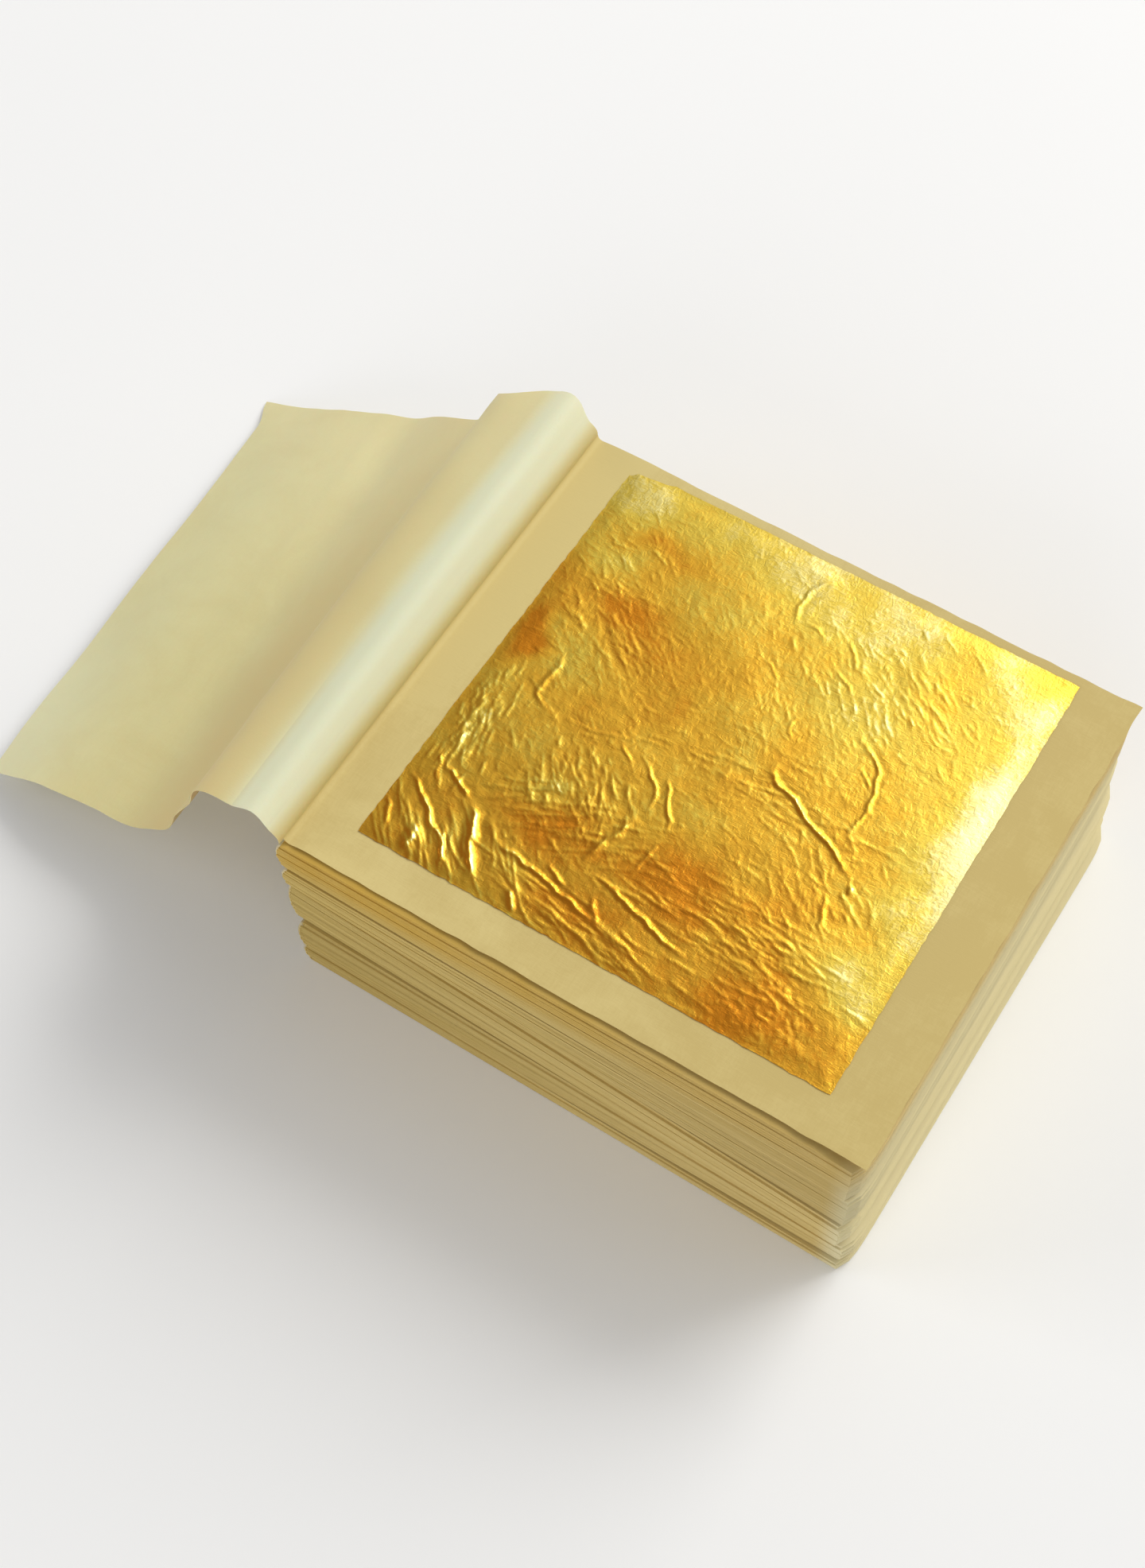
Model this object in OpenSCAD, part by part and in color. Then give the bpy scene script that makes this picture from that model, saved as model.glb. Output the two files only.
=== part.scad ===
// Pile of gold leaf booklets with the top one open.
// Each booklet is a stack of folded tissue folios, glued over the folds at its spine,
// with one gold leaf between the two plies of every folio.
// Origin: centre of the pile's underside. X runs from spine to fore-edge,
// Y from the near edge to the far edge, Z up. Millimetres.

/* [Pile] */
// Width of the booklets, from spine to fore-edge
pile_w = 98; // [94:1:110]
// Length of the booklets, along the spine
pile_l = 90; // [86:1:100]
// Air between two booklets that lie on each other
booklet_gap = 0.25; // [0.2:0.05:0.5]

/* [Booklet thickness] */
// Open booklet at the spine
open_spine_h = 6.8; // [6:0.1:9]
// Open booklet at the fore-edge
open_fore_h = 11.9; // [9:0.1:14]
// Second booklet at the spine
second_spine_h = 4.7; // [4:0.1:8]
// Second booklet at the fore-edge
second_fore_h = 9.5; // [7:0.1:12]
// Third booklet at the spine
third_spine_h = 11; // [8:0.1:14]
// Third booklet at the fore-edge
third_fore_h = 7.5; // [6:0.1:11]
// Fourth booklet at the spine
fourth_spine_h = 8.6; // [6:0.1:11]
// Fourth booklet at the fore-edge
fourth_fore_h = 5.2; // [4:0.1:9]
// Bottom booklet at the spine
bottom_spine_h = 4.9; // [4:0.1:8]
// Bottom booklet at the fore-edge
bottom_fore_h = 1.9; // [1.8:0.1:6]

/* [How the booklets lie] */
// Second booklet, shift towards the fore-edge
second_shift = 0.4; // [-2:0.1:3]
// Third booklet, shift towards the fore-edge
third_shift = 0.9; // [-2:0.1:3]
// Fourth booklet, shift towards the fore-edge
fourth_shift = 1.5; // [-2:0.1:3]
// Bottom booklet, shift towards the fore-edge
bottom_shift = 2; // [-2:0.1:3]
// Second booklet, turn seen from above
second_turn = 0.3; // [-1:0.1:1]
// Third booklet, turn seen from above
third_turn = -0.4; // [-1:0.1:1]
// Fourth booklet, turn seen from above
fourth_turn = 0.2; // [-1:0.1:1]
// Bottom booklet, turn seen from above
bottom_turn = -0.5; // [-1:0.1:1]

/* [Folios] */
// Thickness of one folded folio half way to the fore-edge
folio_pitch = 0.95; // [0.9:0.05:1.2]
// Air between two folios of a booklet
folio_gap = 0.05; // [0.03:0.01:0.1]
// Height of the pocket between the two plies of a folio
pocket_h = 0.12; // [0.08:0.01:0.15]
// Extra air at the fore-edge between the fanned folios of the open booklet
fan_gap = 0.22; // [0:0.02:0.3]
// How far the folds at mid thickness stand out at the spine
spine_round = 1; // [0.2:0.1:1.5]
// How unevenly the folios' free edges end
edge_stagger = 0.35; // [0:0.05:0.6]
// Thickness of the glue film over the folds
glue_t = 0.3; // [0.2:0.05:0.6]
// Air between the folds and the glue film
glue_gap = 0.08; // [0.06:0.01:0.15]

/* [Gold leaf] */
// Side of the square leaf
leaf_side = 80; // [70:1:82]
// Thickness of a leaf
leaf_t = 0.03; // [0.02:0.01:0.05]
// Margin between the spine and the leaf
leaf_from_spine = 8.3; // [6:0.1:11]
// Margin between the near edge and the leaf
leaf_from_near = 8.3; // [2:0.1:8.3]
// Thickness of the bare leaf on the open page
bare_leaf_t = 0.05; // [0.03:0.01:0.08]
// Air between the bare leaf and the open page
bare_leaf_gap = 0.04; // [0.03:0.01:0.06]

/* [Turned page] */
// Thickness of the open page under the bare leaf
open_page_t = 0.3; // [0.2:0.05:0.5]
// Thickness of the turned page
page_t = 0.12; // [0.08:0.01:0.15]
// Width of the turned page along its near edge, from its fold to its free edge
page_near_w = 83.5; // [82:0.5:86]
// Width of the turned page along its far edge, where it is cut a little wider
page_far_w = 87.5; // [84:0.5:88]
// Height of the closed page over the open page
page_lift = 0.8; // [0.6:0.1:1.2]
// Room at each crease between two strips of the turned page
crease_gap = 0.08; // [0.06:0.01:0.12]
// Opening angle of the page at its fold
page_open_deg = 123; // [110:1:123]

/* [Hidden] */

// Booklets are counted from the top: 0 is the open one, 4 the bottom one
spine_h = [open_spine_h, second_spine_h, third_spine_h, fourth_spine_h, bottom_spine_h];
fore_h = [open_fore_h, second_fore_h, third_fore_h, fourth_fore_h, bottom_fore_h];
shift = [0, second_shift, third_shift, fourth_shift, bottom_shift];
turn = [0, second_turn, third_turn, fourth_turn, bottom_turn];
last = len(spine_h) - 1;
fanned = 5;
// Steps in degrees that spread the uneven edges over folios and booklets without a pattern
folio_step = 137;
booklet_step = 70;
// Facet of the round folds, in degrees
fold_facet = 22.5;

// The turned page creases along straight lines, so it stays a developable sheet.
// Each crease starts and ends at a share of the page's width, along its near and far edge,
// so the lines slant. Its angle is positive where the page bends on over the ridge.
crease_near = page_near_w * [0, 0.084, 0.198, 0.521, 0.605, 0.832];
crease_far = page_far_w * [0, 0.086, 0.217, 0.44, 0.623, 0.811];
crease_deg = [page_open_deg, 69, 49, -23, -24, 12];

function mix(a, b, t) = a + (b - a) * t;
function sum(v, i = 0) = i >= len(v) ? 0 : v[i] + sum(v, i + 1);
// Share of the way from spine to fore-edge
function along(x) = (x + pile_w / 2) / pile_w;
function thick(k, x) = mix(spine_h[k], fore_h[k], along(x));
function under_z(k, x) = sum([for (i = [k + 1 : 1 : last]) thick(i, x) + booklet_gap]);
function top_z(k, x) = under_z(k, x) + thick(k, x);
// The open booklet's stack ends below its open page
function stack_z(k, x) = top_z(k, x) - (k == 0 ? open_page_t + folio_gap : 0);
function folios(k) = max(2, round((stack_z(k, 0) - under_z(k, 0)) / folio_pitch));
// Underside and top of folio j, counted from below
function low_z(k, j, x) = mix(under_z(k, x), stack_z(k, x), j / folios(k));
function air(k, j, x) = folio_gap + (k == 0 && j >= folios(k) - fanned ? fan_gap * along(x) : 0);
function high_z(k, j, x) = low_z(k, j + 1, x) - air(k, j, x);
function mid_z(k, j, x) = (low_z(k, j, x) + high_z(k, j, x)) / 2;
// Place of the folds: the back is round, and stands out most at mid thickness
function back_x(k, u) = shift[k] - pile_w / 2 - spine_round * sin(180 * u);
function fold_x(k, j) = back_x(k, (j + 0.5) / folios(k));
function fore_x(k, j) = shift[k] + pile_w / 2 + edge_stagger * sin(folio_step * j + booklet_step * k);
function near_y(k, j) = edge_stagger * cos(folio_step * j + booklet_step * k);

module laid(k) {
    rotate([0, 0, turn[k]]) children();
}

// Stands an outline drawn in X and Z upright and gives it its length along the spine
module upright(length) {
    rotate([90, 0, 0]) linear_extrude(height = length, center = true) children();
}

// Side view of a folio: two plies joined by a round fold, with the pocket between them
module folio_outline(k, j) {
    x0 = fold_x(k, j);
    x1 = fore_x(k, j);
    r = (high_z(k, j, x0) - low_z(k, j, x0)) / 2;
    xr = x0 + r;
    zr = mid_z(k, j, x0);
    polygon(concat(
        [[x1, low_z(k, j, x1)], [x1, mid_z(k, j, x1) - pocket_h / 2]],
        [[xr, mid_z(k, j, xr) - pocket_h / 2], [xr, mid_z(k, j, xr) + pocket_h / 2]],
        [[x1, mid_z(k, j, x1) + pocket_h / 2], [x1, high_z(k, j, x1)]],
        [for (a = [90 : fold_facet : 270]) [xr + r * cos(a), zr + r * sin(a)]]));
}

module folio(k, j) {
    laid(k) translate([0, near_y(k, j), 0]) upright(pile_l) folio_outline(k, j);
}

// Gold leaf in the pocket of folio j
module leaf(k, j) {
    x0 = shift[k] - pile_w / 2 + leaf_from_spine;
    slope = atan((mid_z(k, j, pile_w / 2) - mid_z(k, j, -pile_w / 2)) / pile_w);
    laid(k) translate([x0, leaf_from_near - pile_l / 2, mid_z(k, j, x0)])
        rotate([0, -slope, 0]) translate([0, 0, -leaf_t / 2])
            cube([leaf_side, leaf_side, leaf_t]);
}

// Glue film: its inner face follows every round fold, its outer face runs smoothly over them
module spine_glue(k) {
    x = shift[k] - pile_w / 2;
    steps = 10;
    inner = [for (j = [0 : folios(k) - 1])
        let (x0 = fold_x(k, j), r = (high_z(k, j, x0) - low_z(k, j, x0)) / 2)
        for (a = [225 : -fold_facet : 135])
            [x0 + r, mid_z(k, j, x0)] + (r + glue_gap) * [cos(a), sin(a)]];
    outer = [for (i = [steps : -1 : 0])
        let (z = mix(inner[0][1], inner[len(inner) - 1][1], i / steps),
            u = (z - under_z(k, x)) / (stack_z(k, x) - under_z(k, x)))
        [back_x(k, u) - glue_gap - glue_t, z]];
    color("wheat") laid(k) upright(pile_l - 2 * edge_stagger) polygon(concat(inner, outer));
}

module folio_group(k, count) {
    for (j = [0 : count - 1]) folio(k, j);
}

module leaf_group(k, count) {
    for (j = [0 : count - 1]) leaf(k, j);
}

// The top of the open booklet, with its own origin at the fold of the open page
page_z = page_lift + page_t / 2;
fold_r = page_z + open_page_t / 2;
top_slope = atan((top_z(0, pile_w / 2) - top_z(0, -pile_w / 2)) / pile_w);

module on_top() {
    translate([-pile_w / 2, 0, top_z(0, -pile_w / 2)]) rotate([0, -top_slope, 0]) children();
}

// The open page thins out and curls up at the spine, where the turned page joins it
module opened_page() {
    curl_end = 186;
    curl_facet = 12;
    taper = 1;
    arc = [for (a = [270 : -curl_facet : curl_end]) [cos(a), sin(a)]];
    color("palegoldenrod") on_top() upright(pile_l) polygon(concat(
        [[pile_w, -open_page_t], [pile_w, 0], [fold_r + taper, 0]],
        [for (p = arc) [fold_r, page_z] + p * (fold_r - page_t / 2)],
        [for (i = [len(arc) - 1 : -1 : 0]) [fold_r, page_z] + arc[i] * (fold_r + page_t / 2)],
        [[fold_r + taper, -open_page_t]]));
}

module top_gold_leaf() {
    color("gold") on_top() translate([leaf_from_spine, leaf_from_near - pile_l / 2, bare_leaf_gap])
        cube([leaf_side, leaf_side, bare_leaf_t]);
}

// Flat strip i of the turned page, between crease i and the next one or the free edge
module flat_strip(i) {
    near_end = i + 1 < len(crease_near) ? crease_near[i + 1] - crease_gap : page_near_w;
    far_end = i + 1 < len(crease_far) ? crease_far[i + 1] - crease_gap : page_far_w;
    linear_extrude(height = page_t, center = true) polygon([
        [crease_near[i] + crease_gap, -pile_l / 2], [near_end, -pile_l / 2],
        [far_end, pile_l / 2], [crease_far[i] + crease_gap, pile_l / 2]]);
}

// Carries strip i through each crease between it and the spine
module creased(i, c = 0) {
    from = [crease_near[c], -pile_l / 2, 0];
    to = [crease_far[c], pile_l / 2, 0];
    translate(from) rotate(a = -crease_deg[c], v = to - from) translate(-from)
        if (c == i) flat_strip(i);
        else creased(i, c + 1);
}

module page_strip(i) {
    color("lemonchiffon") on_top() translate([0, 0, page_z]) creased(i - 1);
}

module upper_folio(i) {
    color("palegoldenrod") folio(0, folios(0) - i);
}

module upper_leaf(i) {
    color("gold") leaf(0, folios(0) - i);
}

module open_booklet_folios() {
    color("khaki") folio_group(0, folios(0) - fanned);
}

module open_booklet_leaves() {
    color("gold") leaf_group(0, folios(0) - fanned);
}

module booklet_folios(k) {
    color("tan") folio_group(k, folios(k));
}

module booklet_leaves(k) {
    color("gold") leaf_group(k, folios(k));
}

opened_page();
top_gold_leaf();
for (i = [1 : len(crease_deg)])
    page_strip(i);
for (i = [1 : fanned])
    upper_folio(i);
for (i = [1 : fanned])
    upper_leaf(i);
open_booklet_folios();
open_booklet_leaves();
spine_glue(0);  // open_booklet_spine_glue
booklet_folios(1);  // second_booklet_folios
booklet_leaves(1);  // second_booklet_leaves
spine_glue(1);  // second_booklet_spine_glue
booklet_folios(2);  // third_booklet_folios
booklet_leaves(2);  // third_booklet_leaves
spine_glue(2);  // third_booklet_spine_glue
booklet_folios(3);  // fourth_booklet_folios
booklet_leaves(3);  // fourth_booklet_leaves
spine_glue(3);  // fourth_booklet_spine_glue
booklet_folios(4);  // bottom_booklet_folios
booklet_leaves(4);  // bottom_booklet_leaves
spine_glue(4);  // bottom_booklet_spine_glue
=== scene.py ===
import bpy
import math
import numpy as np
from mathutils import Matrix, Vector


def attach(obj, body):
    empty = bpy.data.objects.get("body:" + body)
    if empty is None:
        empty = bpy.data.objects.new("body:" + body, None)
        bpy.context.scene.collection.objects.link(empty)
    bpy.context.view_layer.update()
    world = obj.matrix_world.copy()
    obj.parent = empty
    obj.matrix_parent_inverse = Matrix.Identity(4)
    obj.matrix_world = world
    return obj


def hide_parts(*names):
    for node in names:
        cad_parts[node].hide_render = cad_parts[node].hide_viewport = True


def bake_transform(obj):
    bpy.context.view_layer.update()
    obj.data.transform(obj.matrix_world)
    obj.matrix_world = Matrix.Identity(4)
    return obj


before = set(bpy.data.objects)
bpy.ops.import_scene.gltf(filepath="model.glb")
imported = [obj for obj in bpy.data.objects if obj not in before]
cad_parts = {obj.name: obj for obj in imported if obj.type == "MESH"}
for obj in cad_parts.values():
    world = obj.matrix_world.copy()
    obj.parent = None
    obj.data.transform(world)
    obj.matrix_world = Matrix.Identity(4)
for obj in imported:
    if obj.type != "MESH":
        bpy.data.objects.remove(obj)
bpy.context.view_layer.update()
scene = bpy.context.scene
mm = 0.001

# the pile as its solids have it, in millimetres, booklets counted from the top
pile = {
    "width": 98, "length": 90, "gap": 0.25,
    "spine": [6.8, 4.7, 11, 8.6, 4.9],
    "fore": [11.9, 9.5, 7.5, 5.2, 1.9],
    "shift": [0, 0.4, 0.9, 1.5, 2],
    "turn": [0, 0.3, -0.4, 0.2, -0.5],
    "openPage": 0.3, "folioGap": 0.05, "folioPitch": 0.95,
    "fanned": 5, "spineRound": 1,
}
topZ = sum(pile["spine"]) + 4 * pile["gap"]
halfW = pile["width"] / 2
halfL = pile["length"] / 2


def underOf(k, side):  # height of the underside of booklet k at its spine or fore-edge
    return sum(pile[side][i] + pile["gap"] for i in range(k + 1, 5))


def stackTopOf(k, side):  # the open booklet's stack ends below its open page
    return underOf(k, side) + pile[side][k] - (pile["openPage"] + pile["folioGap"] if k == 0 else 0)


def folioCount(k):
    tall = (stackTopOf(k, "spine") + stackTopOf(k, "fore") - underOf(k, "spine") - underOf(k, "fore")) / 2
    return max(2, int(tall / pile["folioPitch"] + 0.5))


def smooth(t):
    t = np.clip(t, 0, 1)
    return t * t * (3 - 2 * t)


def hills(x, y, cell, seed):  # soft random hills between -1 and 1, about one cell across
    n = 64
    lattice = np.random.default_rng(seed).uniform(-1, 1, (n, n))
    u, v = np.asarray(x / cell), np.asarray(y / cell)
    i, j = np.floor(u).astype(int), np.floor(v).astype(int)
    a, b = smooth(u - i), smooth(v - j)
    low = lattice[i % n, j % n] * (1 - a) + lattice[(i + 1) % n, j % n] * a
    high = lattice[i % n, (j + 1) % n] * (1 - a) + lattice[(i + 1) % n, (j + 1) % n] * a
    return low * (1 - b) + high * b


def layered(x, y, layers):  # hills of several sizes: height, cell and seed of each
    return sum(height * hills(x, y, cell, seed) for height, cell, seed in layers)


def blob(x, y, centre, reach):  # a soft spot, 1 in its middle
    return np.exp(-((x - centre[0]) / reach[0]) ** 2 - ((y - centre[1]) / reach[1]) ** 2)


# shader groups that several finishes share

def addSocket(tree, label, side, kind):
    return tree.interface.new_socket(name=label, in_out=side, socket_type="NodeSocket" + kind)


def newGroup(name, inputs, outputs):
    tree = bpy.data.node_groups.new(name, "ShaderNodeTree")
    for label, value in inputs:
        addSocket(tree, label, "INPUT", "Float").default_value = value
    for label in outputs:
        addSocket(tree, label, "OUTPUT", "Float")
    return tree, tree.nodes.new("NodeGroupInput"), tree.nodes.new("NodeGroupOutput")


def put(tree, kind, **settings):  # adds a node and sets its own properties
    node = tree.nodes.new(kind)
    for label, value in settings.items():
        setattr(node, label, value)
    return node


def plug(tree, socket, value):  # a value or another socket into one input
    if isinstance(value, bpy.types.NodeSocket):
        tree.links.new(value, socket)
    else:
        socket.default_value = value


def feed(tree, node, **values):  # into named inputs, _ standing for a space
    for label, value in values.items():
        plug(tree, node.inputs[label.replace("_", " ")], value)
    return node


def fill(tree, node, *values):  # into the first inputs, one after the other
    for socket, value in zip(node.inputs, values):
        plug(tree, socket, value)
    return node


def sums(tree, kind, *values):  # one maths node
    return fill(tree, put(tree, "ShaderNodeMath", operation=kind), *values).outputs[0]


def times(tree, a, b):
    return sums(tree, "MULTIPLY", a, b)


def ranged(tree, value, fromLow, fromHigh, toLow=0.0, toHigh=1.0):
    node = put(tree, "ShaderNodeMapRange", interpolation_type="SMOOTHSTEP")
    feed(tree, node, Value=value, From_Min=fromLow, From_Max=fromHigh, To_Min=toLow, To_Max=toHigh)
    return node.outputs[0]


def stretched(tree, scale, turn=0.0):  # the piece's own coordinates, scaled per axis
    place = put(tree, "ShaderNodeTexCoord")
    mapping = put(tree, "ShaderNodeMapping")
    tree.links.new(place.outputs["Object"], mapping.inputs["Vector"])
    mapping.inputs["Rotation"].default_value = (0, 0, turn)
    mapping.inputs["Scale"].default_value = scale
    return mapping.outputs[0]


def placeOf(tree):  # x, y and z of the piece's own coordinates
    return fill(tree, put(tree, "ShaderNodeSeparateXYZ"), stretched(tree, (1, 1, 1))).outputs


def tagOf(tree, label):  # a value stored on the mesh
    return put(tree, "ShaderNodeAttribute", attribute_name=label).outputs["Fac"]


def grainOf(tree, vector, scale, detail=4.0, rough=0.55, twist=0.0):
    noise = put(tree, "ShaderNodeTexNoise")
    feed(tree, noise, Vector=vector, Scale=scale, Detail=detail, Roughness=rough, Distortion=twist)
    return noise.outputs[0]


def makeFibreGroup():  # long soft fibres and cloudy formation of tissue
    tree, given, out = newGroup("tissueFibre", [("Scale", 1.0)], ["Fibre", "Cloud", "Height"])
    long = grainOf(tree, stretched(tree, (420, 2600, 2600), 0.3), given.outputs["Scale"], 5, 0.6, 1.2)
    cross = grainOf(tree, stretched(tree, (2400, 380, 2400), -0.2), given.outputs["Scale"], 5, 0.6, 1.2)
    cloud = grainOf(tree, stretched(tree, (70, 70, 70)), given.outputs["Scale"], 5, 0.6, 0.6)
    fibre = sums(tree, "MULTIPLY_ADD", sums(tree, "ADD", long, cross), 0.5, 0.0)
    feed(tree, out, Fibre=ranged(tree, fibre, 0.34, 0.66), Cloud=ranged(tree, cloud, 0.3, 0.7),
         Height=sums(tree, "MULTIPLY_ADD", cloud, 0.5, fibre))
    return tree


def makeEdgeGroup():  # fine level lines of stacked sheet edges
    tree, given, out = newGroup("sheetEdges", [("Scale", 1.0)], ["Lines", "Bands"])
    lines = grainOf(tree, stretched(tree, (55, 55, 3600)), given.outputs["Scale"], 3, 0.7)
    bands = grainOf(tree, stretched(tree, (28, 28, 620)), given.outputs["Scale"], 4, 0.55, 0.15)
    feed(tree, out, Lines=ranged(tree, lines, 0.3, 0.7), Bands=ranged(tree, bands, 0.32, 0.68))
    return tree


def makeSpeckGroup():  # rare small dark flecks
    tree, given, out = newGroup("fleck", [("Scale", 260.0), ("Share", 0.03)], ["Mask"])
    cells = put(tree, "ShaderNodeTexVoronoi")
    feed(tree, cells, Vector=stretched(tree, (1, 1, 1)), Scale=given.outputs["Scale"])
    pick = fill(tree, put(tree, "ShaderNodeSeparateColor"), cells.outputs["Color"])
    chosen = sums(tree, "LESS_THAN", pick.outputs[0], given.outputs["Share"])
    dot = ranged(tree, cells.outputs["Distance"], 0.05, 0.16, 1.0, 0.0)
    feed(tree, out, Mask=times(tree, chosen, dot))
    return tree


def makeWrinkleGroup():  # fine crumple of beaten leaf
    tree, given, out = newGroup("leafWrinkle", [("Scale", 1.0)], ["Fine", "Broad", "Height"])
    fine = grainOf(tree, stretched(tree, (700, 1900, 700), 0.5), given.outputs["Scale"], 2, 0.5, 1.5)
    cross = grainOf(tree, stretched(tree, (1500, 600, 600), -0.25), given.outputs["Scale"], 2, 0.5, 1.5)
    broad = grainOf(tree, stretched(tree, (75, 75, 75)), given.outputs["Scale"], 4, 0.55, 0.8)
    both = sums(tree, "ADD", fine, cross)
    feed(tree, out, Fine=ranged(tree, both, 0.75, 1.25), Broad=ranged(tree, broad, 0.3, 0.7), Height=both)
    return tree


groups = {
    "fibre": makeFibreGroup(),
    "edges": makeEdgeGroup(),
    "fleck": makeSpeckGroup(),
    "wrinkle": makeWrinkleGroup(),
}


# finishes

def newFinish(name, **constants):  # a Principled material whose even values sit on its own sockets
    finish = bpy.data.materials.new(name)
    finish.use_nodes = True
    shader = finish.node_tree.nodes["Principled BSDF"]
    for label, value in constants.items():
        shader.inputs[label.replace("_", " ")].default_value = value
    return finish, finish.node_tree, shader


def placed(tree, group, **values):
    node = put(tree, "ShaderNodeGroup", node_tree=groups[group])
    return feed(tree, node, **values)


def tinted(tree, share, low, high):  # a colour between two, by a mask
    node = put(tree, "ShaderNodeMix", data_type="RGBA")
    for place, value in ((0, share), (6, low), (7, high)):
        plug(tree, node.inputs[place], (*value, 1) if isinstance(value, tuple) else value)
    return node.outputs[2]


def bumped(tree, shader, height, strength, distance):
    node = put(tree, "ShaderNodeBump")
    feed(tree, node, Strength=strength, Distance=distance, Height=height)
    tree.links.new(node.outputs[0], shader.inputs["Normal"])


tissueLook = {
    # the ochre third colour on the next line is painted shade in the recess under the top page
    "stackDark": (0.56, 0.39, 0.12), "stackLight": (0.76, 0.60, 0.26), "stackUnderPageShade": (0.60, 0.37, 0.06),
    "foreEdge": (0.79, 0.74, 0.49), "spineSide": (0.56, 0.40, 0.10),
    "pageDark": (0.62, 0.475, 0.175), "pageLight": (0.72, 0.58, 0.24),
    "turnedDark": (0.74, 0.62, 0.305), "turnedLight": (0.79, 0.69, 0.36),
    # on the turned page the cream tint is painted light and the tan tint painted valley shade; the fold tint
    # below is painted shade in the crease at the fold
    "turnedPaintedLight": (0.85, 0.82, 0.56), "turnedPaintedShade": (0.73, 0.57, 0.27),
    "fold": (0.62, 0.49, 0.20), "fleck": (0.16, 0.10, 0.04),
}


def mottled(tree, fibre, look):
    cloud = times(tree, fibre.outputs["Cloud"], look["cloud"])
    return sums(tree, "MULTIPLY_ADD", fibre.outputs["Fibre"], look["fibre"], cloud)


def flecked(tree, colour, scale, share):
    fleck = placed(tree, "fleck", Scale=scale, Share=share)
    return tinted(tree, fleck.outputs["Mask"], colour, tissueLook["fleck"])


stackTint = {   # how much each pattern counts, and the metres between which each tint comes in
    "lines": 0.25, "tone": 0.35, "bands": 0.4, "fibre": 0.3,
    # painted shade: an ochre band near the top of the stack, under the top page, stronger towards the spine
    # and patchy
    "underPageShadeHeight": (0.0275, 0.0345), "underPageShadeAcross": (-0.02, 0.045, 1.0, 0.3), "underPageShadePatch": (0.4, 0.55),
    "spineAcross": (-0.049, 0.045, 0.55, 0.1),
    "foreAcross": (0.044, 0.0485, 0.0, 0.7), "foreHeight": (0.036, 0.024, 0.3, 1.0),
    "fleck": (170.0, 0.004), "bump": (0.35, 0.0001),
}


def finishStack():
    look = stackTint
    finish, tree, shader = newFinish("tissueStack", Roughness=0.82, Specular_IOR_Level=0.25)
    edges = placed(tree, "edges", Scale=1.0)
    fibre = placed(tree, "fibre", Scale=1.0)
    share = times(tree, tagOf(tree, "sheetTone"), look["tone"])
    share = sums(tree, "MULTIPLY_ADD", edges.outputs["Lines"], look["lines"], share)
    share = sums(tree, "MULTIPLY_ADD", edges.outputs["Bands"], look["bands"], share)
    colour = tinted(tree, share, tissueLook["stackDark"], tissueLook["stackLight"])
    x, _, z = placeOf(tree)
    # painted shade under the top page: an ochre band by height, stronger towards the spine, made patchy by
    # clouds
    underPageShade = times(tree, ranged(tree, z, *look["underPageShadeHeight"]), ranged(tree, x, *look["underPageShadeAcross"]))
    underPageShade = times(tree, underPageShade, sums(tree, "MULTIPLY_ADD", fibre.outputs["Cloud"], *look["underPageShadePatch"]))
    colour = tinted(tree, ranged(tree, x, *look["spineAcross"]), colour, tissueLook["spineSide"])
    colour = tinted(tree, underPageShade, colour, tissueLook["stackUnderPageShade"])
    byFore = times(tree, ranged(tree, x, *look["foreAcross"]), ranged(tree, z, *look["foreHeight"]))
    colour = tinted(tree, byFore, colour, tissueLook["foreEdge"])
    feed(tree, shader, Base_Color=flecked(tree, colour, *look["fleck"]))
    height = sums(tree, "MULTIPLY_ADD", fibre.outputs["Height"], look["fibre"], edges.outputs["Lines"])
    bumped(tree, shader, height, *look["bump"])
    return finish


openTint = {
    # across is a painted light gradient, paler at the spine side and darker towards the fore-edge; foldAcross
    # and foldAlong give painted light beside the fold towards the far end
    "fibre": 0.35, "cloud": 0.65, "across": (-0.045, 0.045, -0.35, 0.5),
    "foldAcross": (-0.036, -0.046), "foldAlong": (-0.02, 0.04),
    "fleck": (300.0, 0.001), "bump": (0.35, 0.0001),
}


def finishOpenPage():
    look = openTint
    finish, tree, shader = newFinish("tissueOpen", Roughness=0.72, Specular_IOR_Level=0.3)
    fibre = placed(tree, "fibre", Scale=1.0)
    x, y, _ = placeOf(tree)
    # painted light: paler towards the spine side, darker towards the fore-edge, and paler beside the fold
    # towards the far end where the turned page shades it
    share = sums(tree, "SUBTRACT", mottled(tree, fibre, look), ranged(tree, x, *look["across"]))
    paintedFoldLight = times(tree, ranged(tree, x, *look["foldAcross"]), ranged(tree, y, *look["foldAlong"]))
    share = sums(tree, "ADD", share, paintedFoldLight)
    colour = tinted(tree, share, tissueLook["pageDark"], tissueLook["pageLight"])
    feed(tree, shader, Base_Color=flecked(tree, colour, *look["fleck"]))
    bumped(tree, shader, fibre.outputs["Height"], *look["bump"])
    return finish


turnedTint = {   # metres from the fold, or along it, between which each tint comes in or goes
    # tints: painted light on the flank next to the fold and towards the far end, painted shade in the valley
    # beyond it (weaker towards the far end), painted light on the outer part near the near edge, painted
    # shade in the crease at the fold
    "fibre": 0.3, "cloud": 0.7, "atFold": (0.0, 0.0045, 1.0, 0.0), "toFar": (-0.02, 0.045),
    "litFlankOn": (0.0008, 0.0035), "litFlankOff": (0.010, 0.015, 1.0, 0.0), "farPaintedLight": 0.25,
    "valleyShadeOn": (0.010, 0.017), "valleyShadeOff": (0.044, 0.056, 1.0, 0.0), "valleyShadeFar": -0.7,
    "rimAcross": (0.060, 0.086), "rimAlong": (0.015, -0.04, 0.0, 1.0), "rim": 0.6,
    "fleck": (330.0, 0.004), "bump": (0.4, 0.0001),
}


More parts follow.
